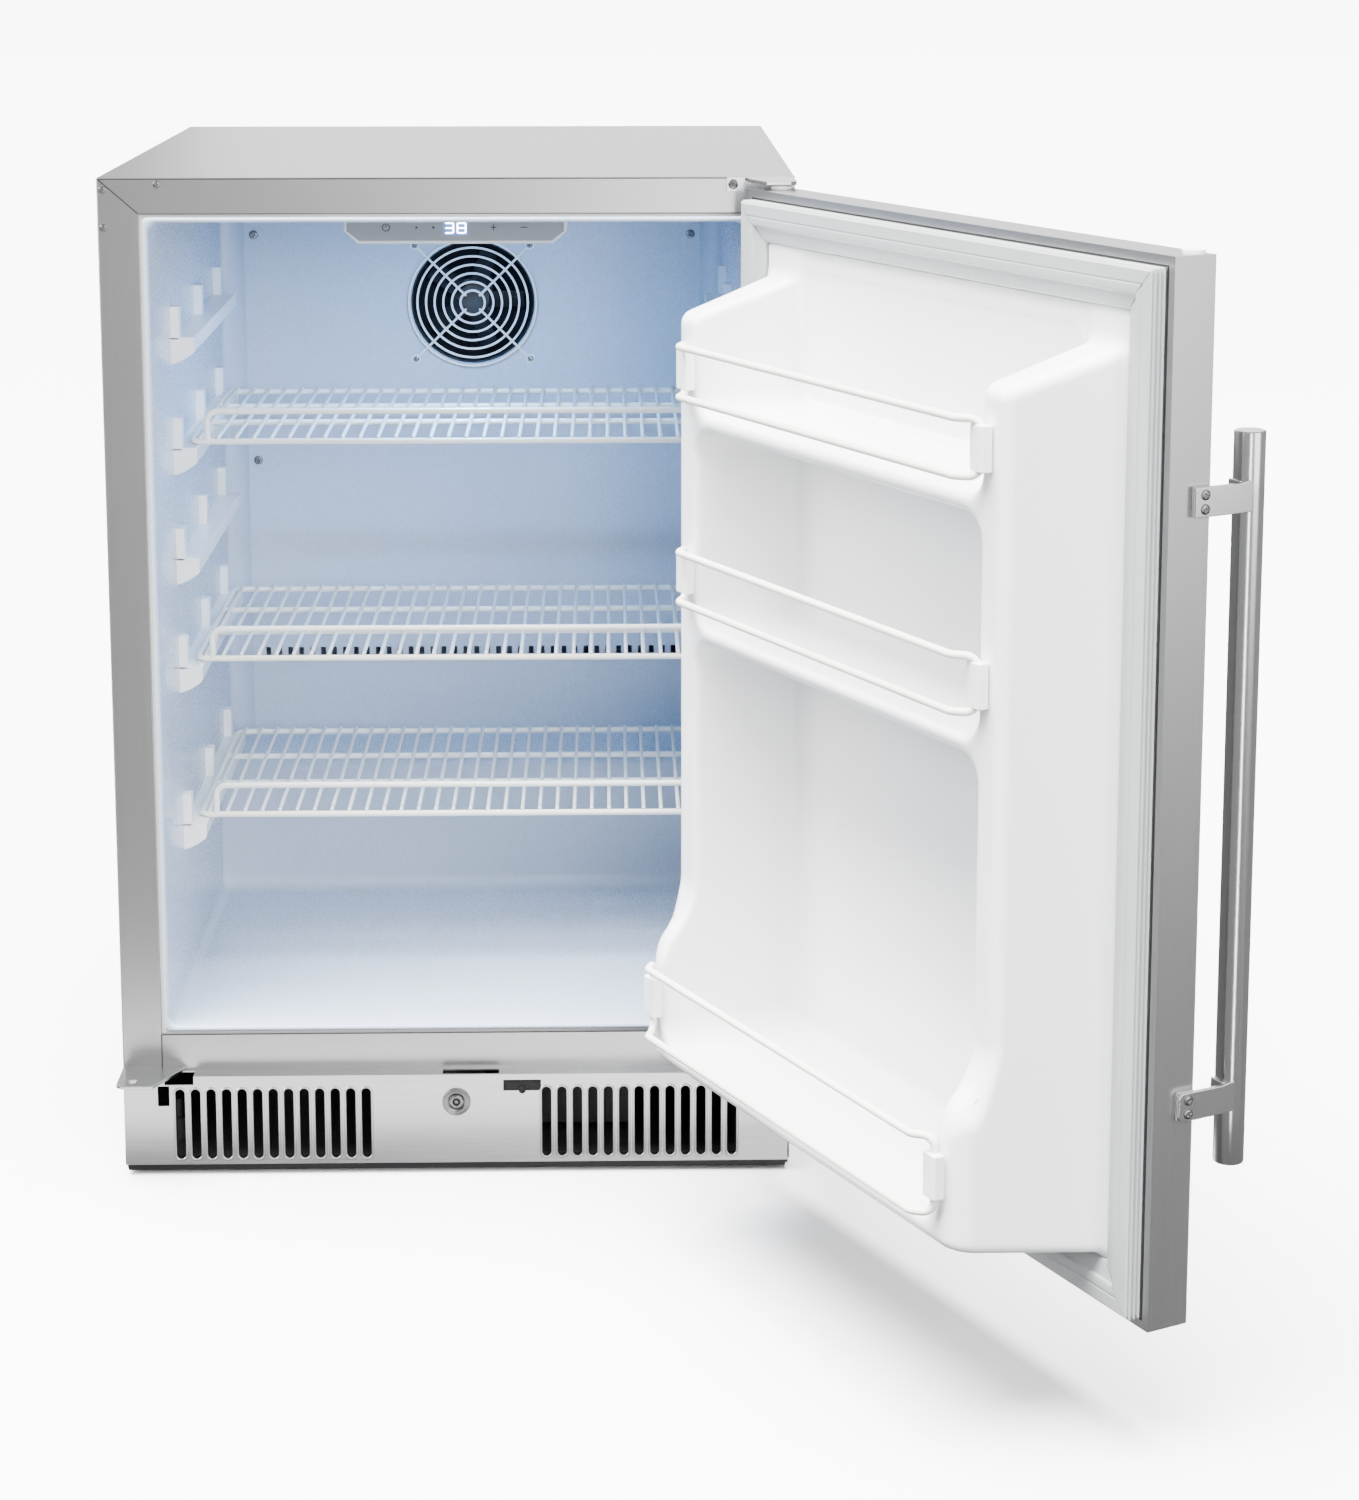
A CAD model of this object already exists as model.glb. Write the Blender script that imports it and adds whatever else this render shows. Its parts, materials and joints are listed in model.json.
"""Looks of an under-counter refrigerator with its door open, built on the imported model."""
import json
import math

import bmesh
import bpy
import numpy as np
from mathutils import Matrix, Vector


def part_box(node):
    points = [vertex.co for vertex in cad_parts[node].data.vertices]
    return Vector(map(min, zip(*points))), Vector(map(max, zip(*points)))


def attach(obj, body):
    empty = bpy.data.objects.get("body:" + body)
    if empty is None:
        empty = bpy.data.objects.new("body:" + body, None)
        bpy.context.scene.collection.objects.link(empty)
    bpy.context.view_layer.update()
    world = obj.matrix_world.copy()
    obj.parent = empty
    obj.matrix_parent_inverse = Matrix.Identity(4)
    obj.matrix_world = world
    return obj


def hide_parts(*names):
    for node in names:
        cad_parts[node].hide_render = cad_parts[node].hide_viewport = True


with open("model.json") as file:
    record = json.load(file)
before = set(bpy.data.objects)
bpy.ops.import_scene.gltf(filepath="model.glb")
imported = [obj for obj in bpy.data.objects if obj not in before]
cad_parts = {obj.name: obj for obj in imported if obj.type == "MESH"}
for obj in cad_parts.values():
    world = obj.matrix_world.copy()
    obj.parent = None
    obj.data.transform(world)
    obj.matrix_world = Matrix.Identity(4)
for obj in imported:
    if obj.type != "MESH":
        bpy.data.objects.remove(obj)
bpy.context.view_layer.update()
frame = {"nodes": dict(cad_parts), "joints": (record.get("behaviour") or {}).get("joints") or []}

NODES = frame["nodes"]
MM = 0.001
WELD_GAP = 0.02 * MM
SHARP_EDGE, FLAT_EDGE = math.radians(35), math.radians(0.5)
HINGE = next(j for j in frame["joints"] if j["name"] == "door_hinge")
AXIS = np.array(HINGE["pos_m"]) / MM
OPEN = math.radians(-HINGE["range_deg"][0])
P_DIR = np.array([-math.cos(OPEN), -math.sin(OPEN), 0.0])
Q_DIR = np.array([-math.sin(OPEN), math.cos(OPEN), 0.0])


# ---- measuring

def size_of(node):
    """Lowest and highest corner of a CAD node in millimetres."""
    low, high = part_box(node)
    return np.array(low) / MM, np.array(high) / MM


def door_size_of(node):
    """Lowest and highest p, q and z of a CAD node on the door, in millimetres."""
    co = np.array([v.co for v in NODES[node].data.vertices]) / MM
    flat = co * [1, 1, 0] - AXIS * [1, 1, 0]
    local = np.stack([flat @ P_DIR, flat @ Q_DIR, co[:, 2]], 1)
    return local.min(0), local.max(0)


def on_door(points):
    """Door coordinates p, q and z turned into the shared frame, in millimetres."""
    pts = np.asarray(points, float)
    return AXIS * [1, 1, 0] + pts[:, :1] * P_DIR + pts[:, 1:2] * Q_DIR + pts[:, 2:] * [0, 0, 1]


# ---- mesh building

class Shape:
    """Vertices in millimetres and faces, collected before they become one piece."""

    def __init__(self):
        self.verts, self.faces, self.flat = [], [], []

    def add(self, verts, faces, flat=False):
        base = len(self.verts)
        self.verts.extend(np.asarray(verts, float).tolist())
        return self.patch([[int(i) + base for i in f] for f in faces], flat)

    def patch(self, faces, flat=False):
        """More faces between the vertices that are already there."""
        self.faces.extend([tuple(f) for f in faces])
        self.flat.extend([flat] * len(faces))
        return self

    def join(self, other):
        base = len(self.verts)
        self.verts.extend(other.verts)
        self.faces.extend([tuple(i + base for i in f) for f in other.faces])
        self.flat.extend(other.flat)
        return self

    def moved(self, fn):
        made = Shape()
        made.verts = np.asarray(fn(np.asarray(self.verts, float))).tolist()
        made.faces, made.flat = list(self.faces), list(self.flat)
        return made


def piece(name, shape, body, material, replaces=(), door=False, bevel=0.0, segments=3):
    """Makes a shape into a mesh object that rides on a body; door shapes are in p, q and z."""
    verts = np.asarray(shape.verts, float)
    if door:
        verts = on_door(verts)
    mesh = bpy.data.meshes.new(name)
    mesh.from_pydata((verts * MM).tolist(), [], shape.faces)
    mesh.polygons.foreach_set("use_smooth", [not f for f in shape.flat])
    bm = bmesh.new()
    bm.from_mesh(mesh)
    bmesh.ops.recalc_face_normals(bm, faces=bm.faces)
    bm.to_mesh(mesh)
    bm.free()
    obj = bpy.data.objects.new(name, mesh)
    bpy.context.scene.collection.objects.link(obj)
    mesh.materials.append(material)
    if bevel:
        round_edges(obj, bevel, segments)
    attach(obj, body)
    if replaces:
        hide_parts(*replaces)
    return obj


def weld(obj):
    """Joins the doubled vertices of a CAD node, so that its edges can be worked on."""
    obj.modifiers.new("weld", "WELD").merge_threshold = WELD_GAP


def round_edges(obj, width, segments):
    """Bevels the sharp edges and shades the rest smooth."""
    mod = obj.modifiers.new("edge", "BEVEL")
    mod.width, mod.segments = width * MM, segments
    mod.limit_method, mod.angle_limit = "ANGLE", SHARP_EDGE
    mod.miter_outer = "MITER_ARC"
    obj.data.polygons.foreach_set("use_smooth", [True] * len(obj.data.polygons))
    normals = obj.modifiers.new("normals", "WEIGHTED_NORMAL")
    normals.keep_sharp = False


def soften(node, width):
    """Rounds a CAD node's edges with modifiers, without touching its mesh."""
    obj = NODES[node]
    weld(obj)
    flat = obj.modifiers.new("flats", "DECIMATE")
    flat.decimate_type, flat.angle_limit = "DISSOLVE", FLAT_EDGE
    round_edges(obj, width, 2)


def box(low, high):
    """Plain block; it is always given a bevel or joined to a larger shape."""
    (a, b, c), (d, e, f) = low, high
    verts = [(a, b, c), (d, b, c), (d, e, c), (a, e, c), (a, b, f), (d, b, f), (d, e, f), (a, e, f)]
    faces = [(0, 3, 2, 1), (4, 5, 6, 7), (0, 1, 5, 4), (1, 2, 6, 5), (2, 3, 7, 6), (3, 0, 4, 7)]
    return Shape().add(verts, faces, True)


def prism(outline, low, high, axis):
    """Closed outline extruded along an axis: 0 is X or p, 1 is Y or q, 2 is Z."""
    n = len(outline)
    verts = []
    for level in (low, high):
        for a, b in outline:
            verts.append({0: (level, a, b), 1: (a, level, b), 2: (a, b, level)}[axis])
    faces = [tuple(range(n))[::-1], tuple(range(n, 2 * n))]
    faces += [(i, (i + 1) % n, (i + 1) % n + n, i + n) for i in range(n)]
    return Shape().add(verts, faces, True)


def loft(rings, closed_ends=True, loop=False):
    """Skin over rings that all have the same number of points."""
    rings = [np.asarray(r, float) for r in rings]
    n, count = len(rings[0]), len(rings)
    faces = []
    for k in range(count if loop else count - 1):
        a, b = k * n, (k + 1) % count * n
        faces += [(a + i, a + (i + 1) % n, b + (i + 1) % n, b + i) for i in range(n)]
    if closed_ends and not loop:
        faces += [tuple(range(n))[::-1], tuple(range((count - 1) * n, count * n))]
    return Shape().add(np.vstack(rings), faces)


def rounded(points, radius, steps=6, closed=False):
    """Polyline with its corners turned into arcs."""
    pts = [np.asarray(p, float) for p in points]
    n, out = len(pts), []
    for i in range(n):
        if not closed and i in (0, n - 1):
            out.append(pts[i])
            continue
        here, a, b = pts[i], pts[i - 1] - pts[i], pts[(i + 1) % n] - pts[i]
        la, lb = np.linalg.norm(a), np.linalg.norm(b)
        a, b = a / la, b / lb
        half = math.acos(max(-1.0, min(1.0, float(a @ b)))) / 2
        if half > math.radians(89):
            out.append(here)
            continue
        reach = min(radius / math.tan(half), la * 0.49, lb * 0.49)
        r = reach * math.tan(half)
        mid = (a + b) / np.linalg.norm(a + b)
        centre = here + mid * (r / math.sin(half))
        start, end = here + a * reach - centre, here + b * reach - centre
        sweep = math.pi - 2 * half
        for t in (k / steps for k in range(steps + 1)):
            turned = math.sin((1 - t) * sweep) * start + math.sin(t * sweep) * end
            out.append(centre + turned / math.sin(sweep))
    return out


def tube(points, radius, closed=False, bend=0.0, sides=14, steps=6):
    """Round wire along a polyline, with domed ends where it is open."""
    pts = rounded(points, bend, steps, closed) if bend else [np.asarray(p, float) for p in points]
    n = len(pts)
    if closed:
        tangents = [pts[(i + 1) % n] - pts[i - 1] for i in range(n)]
    else:
        tangents = [pts[min(i + 1, n - 1)] - pts[max(i - 1, 0)] for i in range(n)]
    tangents = [t / np.linalg.norm(t) for t in tangents]
    up = np.array([0, 0, 1.0]) if abs(tangents[0][2]) < 0.9 else np.array([1.0, 0, 0])
    side = np.cross(tangents[0], up)
    side /= np.linalg.norm(side)
    turns = [2 * math.pi * k / sides for k in range(sides)]

    def ring(at, across, other, r):
        return [at + r * (math.cos(t) * across + math.sin(t) * other) for t in turns]

    frames = []
    for i in range(n):
        side = side - tangents[i] * (side @ tangents[i])
        side /= np.linalg.norm(side)
        frames.append((side.copy(), np.cross(tangents[i], side)))
    rings = [ring(pts[i], *frames[i], radius) for i in range(n)]
    if not closed:
        dome = [(radius * math.sin(a), radius * math.cos(a)) for a in np.radians([25, 55, 80])]
        first = [ring(pts[0] - tangents[0] * out, *frames[0], r) for out, r in dome[::-1]]
        last = [ring(pts[-1] + tangents[-1] * out, *frames[-1], r) for out, r in dome]
        return loft(first + rings + last)
    first, last = np.array(rings[0]), np.array(rings[-1])
    gaps = [np.abs(np.roll(last, k, 0) - first).sum() for k in range(sides)]
    turn, end = int(np.argmin(gaps)), (n - 1) * sides
    seam = [
        (end + (i - turn) % sides, end + (i + 1 - turn) % sides, (i + 1) % sides, i)
        for i in range(sides)
    ]
    return loft(rings, closed_ends=False).patch(seam)


def lathe(profile, centre, axis, steps=64):
    """Profile of radius and height turned about an axis through a centre."""
    centre, axis = np.asarray(centre, float), np.asarray(axis, float)
    a = np.cross(axis, [0, 0, 1.0] if abs(axis[2]) < 0.9 else [1.0, 0, 0])
    a /= np.linalg.norm(a)
    b = np.cross(axis, a)
    rings = []
    for r, h in profile:
        rings.append([
            centre + axis * h + r * (math.cos(t) * a + math.sin(t) * b)
            for t in (2 * math.pi * k / steps for k in range(steps))
        ])
    return loft(rings)


def ring_of(profile, centre, axis, steps=64):
    """Lathe whose profile closes on itself, so that it keeps its bore."""
    shape = lathe(profile, centre, axis, steps)
    shape.faces, shape.flat = shape.faces[:-2], shape.flat[:-2]
    last = (len(profile) - 1) * steps
    return shape.patch([(last + i, last + (i + 1) % steps, (i + 1) % steps, i) for i in range(steps)])


def rounded_rect(half, low, high, radius, steps=8):
    """Outline of a rectangle with round corners, from -half to half and from low to high."""
    out = []
    for sx, z, start in ((1, high, 0), (-1, high, 90), (-1, low, 180), (1, low, 270)):
        sz = 1 if z == high else -1
        for k in range(steps + 1):
            t = math.radians(start + 90 * k / steps)
            out.append((sx * (half - radius) + radius * math.cos(t), z - sz * radius + radius * math.sin(t)))
    return out


def screw_head(centre, normal, diameter, rise, turn=0.3):
    """Domed screw head with a cross recess, as a fine disc that bulges along its normal."""
    n, cross_half, cross_reach = 28, 0.13, 0.62
    normal = np.asarray(normal, float)
    a = np.cross(normal, [0, 0, 1.0])
    a /= np.linalg.norm(a)
    b = np.cross(normal, a)
    radius = diameter / 2
    verts, faces = [], []
    for i in range(n + 1):
        for j in range(n + 1):
            u, v = 2 * i / n - 1, 2 * j / n - 1
            x, y = u * math.sqrt(1 - v * v / 2), v * math.sqrt(1 - u * u / 2)
            r = math.hypot(x, y)
            h = rise * math.sqrt(max(0.0, 1 - 0.92 * r ** 2.6))
            cx, cy = x * math.cos(turn) + y * math.sin(turn), y * math.cos(turn) - x * math.sin(turn)
            arm = min(abs(cx), abs(cy))
            if arm < cross_half and r < cross_reach:
                h -= rise * 0.75 * (1 - arm / cross_half) ** 0.5 * (1 - (r / cross_reach) ** 3)
            edge = 1.0 if r < 0.999 else 0.0
            verts.append(np.asarray(centre) + radius * (x * a + y * b) + normal * h * edge)
    for i in range(n):
        for j in range(n):
            k = i * (n + 1) + j
            faces.append((k, k + 1, k + n + 2, k + n + 1))
    rim = [i * (n + 1) for i in range(n + 1)] + [n * (n + 1) + j for j in range(1, n + 1)]
    rim += [i * (n + 1) + n for i in range(n - 1, -1, -1)] + [j for j in range(n - 1, 0, -1)]
    base = len(verts)
    verts += [np.asarray(verts[k]) - normal * 0.6 for k in rim]
    m = len(rim)
    faces += [(rim[k], rim[(k + 1) % m], base + (k + 1) % m, base + k) for k in range(m)]
    faces.append(tuple(base + k for k in range(m)))
    return Shape().add(verts, faces)


# ---- solids from distance functions

def meet(a, b, r):
    """Common part of two solids, its convex edge rounded to r."""
    u, v = np.maximum(r + a, 0), np.maximum(r + b, 0)
    return np.minimum(-r, np.maximum(a, b)) + np.hypot(u, v)


def blend_in(a, b, r):
    """Two solids as one, the corner between them filled to r."""
    u, v = np.maximum(r - a, 0), np.maximum(r - b, 0)
    return np.maximum(r, np.minimum(a, b)) - np.hypot(u, v)


def surface_net(distance, axes, reach):
    """Closed mesh of the surface where a distance function is zero, from a grid over three axes."""
    grid = np.meshgrid(*axes, indexing="ij")
    value = distance(*grid)
    cells = tuple(s - 1 for s in value.shape)
    total, count = np.zeros(cells + (3,)), np.zeros(cells)
    crossings = []
    for axis in range(3):
        lo_cut, hi_cut = [slice(None)] * 3, [slice(None)] * 3
        lo_cut[axis], hi_cut[axis] = slice(0, -1), slice(1, None)
        a, b = value[tuple(lo_cut)], value[tuple(hi_cut)]
        cross = (a < 0) != (b < 0)
        t = np.where(cross, a / np.where(a == b, 1, a - b), 0)
        at = np.stack([g[tuple(lo_cut)] for g in grid], -1)
        at[..., axis] += t * np.diff(grid[axis], axis=axis)
        others = [i for i in range(3) if i != axis]
        for d0 in (0, 1):
            for d1 in (0, 1):
                cut = [slice(None)] * 3
                cut[others[0]] = slice(d0, d0 + cells[others[0]])
                cut[others[1]] = slice(d1, d1 + cells[others[1]])
                cut = tuple(cut)
                total += at[cut] * cross[cut][..., None]
                count += cross[cut]
        crossings.append((axis, others, cross, a < 0))
    used = count > 0
    index = np.full(cells, -1)
    index[used] = np.arange(used.sum())
    verts = total[used] / count[used][:, None]
    faces = []
    for axis, others, cross, inside in crossings:
        where = np.argwhere(cross)
        keep = (where[:, others[0]] > 0) & (where[:, others[1]] > 0)
        keep &= (where[:, others[0]] < cells[others[0]]) & (where[:, others[1]] < cells[others[1]])
        where = where[keep]
        corner = []
        for d0, d1 in ((0, 0), (-1, 0), (-1, -1), (0, -1)):
            c = where.copy()
            c[:, others[0]] += d0
            c[:, others[1]] += d1
            corner.append(index[tuple(c.T)])
        quads = np.stack(corner, 1)
        flip = inside[tuple(where.T)] == (axis == 1)
        quads[flip] = quads[flip][:, ::-1]
        faces.append(quads)
    nudges, least_slope, passes = 0.02 * np.eye(3), 0.05, 4
    for _ in range(passes):
        rise = [distance(*(verts + nudge).T) - distance(*(verts - nudge).T) for nudge in nudges]
        slope = np.stack(rise, 1) / (2 * nudges.max())
        steepness = np.maximum((slope ** 2).sum(1), least_slope)[:, None]
        verts = verts - np.clip(distance(*verts.T)[:, None] * slope / steepness, -reach, reach)
    return Shape().add(verts, np.vstack(faces))


# ---- materials

def new_material(name):
    mat = bpy.data.materials.new(name)
    mat.use_nodes = True
    return mat, mat.node_tree, mat.node_tree.nodes["Principled BSDF"]


def set_inputs(shader, **values):
    names = {
        "color": "Base Color", "metal": "Metallic", "rough": "Roughness", "coat": "Coat Weight",
        "coat_rough": "Coat Roughness", "ior": "IOR", "specular": "Specular IOR Level",
        "emit": "Emission Color", "power": "Emission Strength",
    }
    for key, value in values.items():
        if key in ("color", "emit"):
            value = (*value, 1.0)
        shader.inputs[names[key]].default_value = value


def texture_space(tree, scale):
    coords, mapping = tree.nodes.new("ShaderNodeTexCoord"), tree.nodes.new("ShaderNodeMapping")
    mapping.inputs["Scale"].default_value = scale
    tree.links.new(coords.outputs["Object"], mapping.inputs["Vector"])
    return mapping.outputs["Vector"]


def noise(tree, scale, detail=4.0, rough=0.6):
    node = tree.nodes.new("ShaderNodeTexNoise")
    node.inputs["Scale"].default_value = 1.0
    node.inputs["Detail"].default_value = detail
    node.inputs["Roughness"].default_value = rough
    tree.links.new(texture_space(tree, scale), node.inputs["Vector"])
    return node.outputs["Fac"]


def ramp(tree, fac, low, high, start=0.3, end=0.7):
    """Maps a 0 to 1 value onto a range of numbers."""
    node = tree.nodes.new("ShaderNodeMapRange")
    for key, value in (("From Min", start), ("From Max", end), ("To Min", low), ("To Max", high)):
        node.inputs[key].default_value = value
    tree.links.new(fac, node.inputs["Value"])
    return node.outputs["Result"]


def tint(tree, shader, fac, dark, light, start=0.3, end=0.7):
    """Base colour that runs between two colours with a texture."""
    node = tree.nodes.new("ShaderNodeMix")
    node.data_type = "RGBA"
    tree.links.new(ramp(tree, fac, 0.0, 1.0, start, end), node.inputs["Factor"])
    node.inputs["A"].default_value, node.inputs["B"].default_value = (*dark, 1), (*light, 1)
    tree.links.new(node.outputs["Result"], shader.inputs["Base Color"])


def bump(tree, shader, fac, strength, distance):
    node = tree.nodes.new("ShaderNodeBump")
    node.inputs["Strength"].default_value, node.inputs["Distance"].default_value = strength, distance
    tree.links.new(fac, node.inputs["Height"])
    tree.links.new(node.outputs["Normal"], shader.inputs["Normal"])


def brushed(name, level, rough, scale, strength, warm=0.0, depth=0.03):
    """Brushed metal whose grain runs along the axis that has the small scale."""
    mat, tree, shader = new_material(name)
    set_inputs(shader, metal=1.0, rough=rough, ior=2.2)
    grain = noise(tree, scale, 3.0, 0.7)
    dark, light = ([level * tone, level * tone, level * (tone - warm)] for tone in (1 - depth, 1 + depth))
    tint(tree, shader, grain, dark, light, 0.35, 0.65)
    gloss = ramp(tree, grain, rough * (1 - 2 * depth), rough * (1 + 2 * depth))
    tree.links.new(gloss, shader.inputs["Roughness"])
    bump(tree, shader, grain, strength, 0.0001)
    return mat


def moulded(name, color, rough, spread=0.03, grain=900.0, strength=0.05, coat=0.0):
    """Moulded plastic, rubber or paint with a fine orange-peel and a slow change of tone."""
    mat, tree, shader = new_material(name)
    set_inputs(shader, rough=rough, coat=coat, coat_rough=0.15)
    slow = noise(tree, (7, 7, 7), 2.0)
    dark, light = [c * (1 - spread) for c in color], [min(1.0, c * (1 + spread)) for c in color]
    tint(tree, shader, slow, dark, light)
    fine = noise(tree, (grain, grain, grain), 2.0)
    tree.links.new(ramp(tree, fine, rough * 0.9, rough * 1.12), shader.inputs["Roughness"])
    bump(tree, shader, fine, strength, 0.0002)
    return mat


def glowing(name, color, power):
    mat, tree, shader = new_material(name)
    set_inputs(shader, color=color, emit=color, power=power, rough=0.4)
    tint(tree, shader, noise(tree, (300, 300, 300)), [c * 0.95 for c in color], color)
    return mat


STEEL = 0.50
steel_x = brushed("steel_along_x", STEEL, 0.33, (6, 1400, 1400), 0.05)
steel_z = brushed("steel_along_z", STEEL, 0.33, (1400, 1400, 6), 0.05)
steel_door = brushed("steel_door", STEEL, 0.33, (1400, 1400, 6), 0.05)
steel_grille = brushed("steel_grille", 0.66, 0.34, (14, 700, 700), 0.35, depth=0.07)
steel_bar = brushed("steel_bar", 0.60, 0.22, (1600, 1600, 8), 0.05, depth=0.04)
zinc = brushed("zinc_plate", 0.62, 0.26, (900, 900, 900), 0.04)
lock_grey = brushed("lock_grey", 0.20, 0.28, (900, 900, 900), 0.04)
screw_steel = brushed("screw_steel", 0.24, 0.26, (1500, 1500, 1500), 0.03)
galvanised = brushed("galvanised_sheet", 0.50, 0.45, (60, 60, 60), 0.05, depth=0.06)
aluminium = brushed("fin_aluminium", 0.70, 0.35, (400, 400, 40), 0.05)
copper = brushed("copper_tube", 0.55, 0.30, (300, 300, 300), 0.05, 0.42)
liner_white = moulded("liner_white", (0.42, 0.49, 0.60), 0.27, 0.015, 500, 0.03, 0.3)
door_white = moulded("door_white", (0.86, 0.865, 0.875), 0.30, 0.012, 500, 0.03, 0.25)
part_white = moulded("part_white", (0.84, 0.84, 0.82), 0.32, 0.02, 700, 0.04, 0.15)
wire_white = moulded("wire_white", (0.84, 0.82, 0.75), 0.30, 0.02, 300, 0.08, 0.3)
trim_grey = moulded("trim_grey", (0.42, 0.41, 0.41), 0.42, 0.03, 900, 0.05)
gasket_grey = moulded("gasket_grey", (0.36, 0.37, 0.375), 0.42, 0.04, 400, 0.06)
gasket_dark = moulded("gasket_dark", (0.16, 0.16, 0.165), 0.5, 0.05, 400, 0.05)
film_grey = moulded("film_grey", (0.27, 0.285, 0.30), 0.36, 0.02, 1200, 0.03, 0.1)
black_plastic = moulded("black_plastic", (0.012, 0.012, 0.013), 0.42, 0.2, 900, 0.08)
switch_black = moulded("switch_black", (0.005, 0.005, 0.005), 0.75, 0.2, 900, 0.08)
black_paint = moulded("black_paint", (0.014, 0.014, 0.015), 0.33, 0.2, 300, 0.06, 0.2)
dark_sheet = moulded("dark_sheet", (0.02, 0.02, 0.021), 0.5, 0.2, 500, 0.05)
rubber = moulded("rubber", (0.03, 0.03, 0.03), 0.7, 0.2, 700, 0.1)
foam = moulded("foam", (0.78, 0.70, 0.45), 0.9, 0.08, 260, 0.8)
dark_ink = moulded("dark_ink", (0.03, 0.03, 0.035), 0.4, 0.1)
lens_glow = glowing("lens_glow", (0.86, 0.94, 1.0), 14.0)
digit_glow = glowing("digit_glow", (0.92, 0.96, 1.0), 14.0)
screen_glow = glowing("screen_glow", (0.12, 0.22, 0.50), 0.8)

LOOKS = [
    (steel_x, "outer_shell rail_top rail_bottom"),
    (galvanised, "back_panel rear_cover"),
    (black_paint, "base_pan compressor condenser_coil"),
    (dark_sheet, "insulation_plate electronics_box"),
    (foam, "cabinet_foam door_foam"),
    (liner_white, "inner_liner evaporator_cover"),
    (trim_grey, "opening_trim"),
    (steel_z, "stile_left stile_right"),
    (screw_steel, "cabinet_screws handle_screws"),
    (part_white, "fan_guard control_housing shelf_supports_left shelf_supports_right hinge_bushings "
                 "rack_clips"),
    (aluminium, "evaporator_coil"),
    (black_plastic, "evaporator_fan_motor evaporator_fan_blade condenser_fan_motor condenser_fan_blade "
                    "condensate_pan power_inlet foot_front_left foot_front_right foot_rear_left "
                    "foot_rear_right"),
    (film_grey, "control_panel"),
    (lens_glow, "led_lens"),
    (wire_white, "shelf_top shelf_middle shelf_bottom rack_top rack_middle rack_bottom"),
    (steel_grille, "grille_panel"),
    (lock_grey, "lock_collar lock_cylinder"),
    (zinc, "lock_cam hinge_bracket_upper hinge_bracket_lower spare_hinge_bracket handle_arms"),
    (switch_black, "door_switch switch_plunger"),
    (rubber, "compressor_mounts"),
    (copper, "refrigerant_pipes"),
    (steel_door, "door_skin"),
    (door_white, "door_liner"),
    (gasket_grey, "door_gasket"),
    (steel_bar, "handle_bar"),
]
for material, nodes in LOOKS:
    for node in nodes.split():
        NODES[node].data.materials.clear()
        NODES[node].data.materials.append(material)

SOFTENED = {
    0.3: "grille_panel",
    0.4: "stile_left stile_right rail_top rail_bottom",
    0.6: "hinge_bracket_upper hinge_bracket_lower spare_hinge_bracket",
    0.8: "outer_shell door_skin base_pan power_inlet electronics_box condensate_pan",
    1.4: "control_housing",
}
for width, nodes in SOFTENED.items():
    for node in nodes.split():
        soften(node, width)

# The foam fills the CAD liner, whose corners are square, so it draws back from the round ones made here.
FOAM_INSET = 3.2
core = NODES["door_foam"]
weld(core)
shrink = core.modifiers.new("inside_the_skins", "DISPLACE")
shrink.strength, shrink.mid_level = -FOAM_INSET * MM, 0.0


# ---- cabinet

STILE_LOW, STILE_HIGH = size_of("stile_right")
SHELL_HIGH = size_of("outer_shell")[1]
TRIM_LOW, TRIM_HIGH = size_of("opening_trim")
LINER_HIGH = size_of("inner_liner")[1]
COVER_LOW, COVER_HIGH = size_of("evaporator_cover")
GUARD_LOW, GUARD_HIGH = size_of("fan_guard")
FRONT = STILE_LOW[1]
TRIM_W = 6.0
CAVITY_X = TRIM_HIGH[0] - TRIM_W
CAVITY_FLOOR = TRIM_LOW[2] + TRIM_W
CAVITY_TOP = TRIM_HIGH[2] - TRIM_W
CAVITY_BACK = COVER_LOW[1]
STEP_Y, STEP_Z = FRONT + 393, CAVITY_FLOOR + 131    # the hump over the machine compartment
RECESS_X = COVER_HIGH[0] + 1.2
FAN_Z = (GUARD_LOW[2] + GUARD_HIGH[2]) / 2
GUARD_EYE = 80.0    # radius from the fan's axis to the guard's screws


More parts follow.
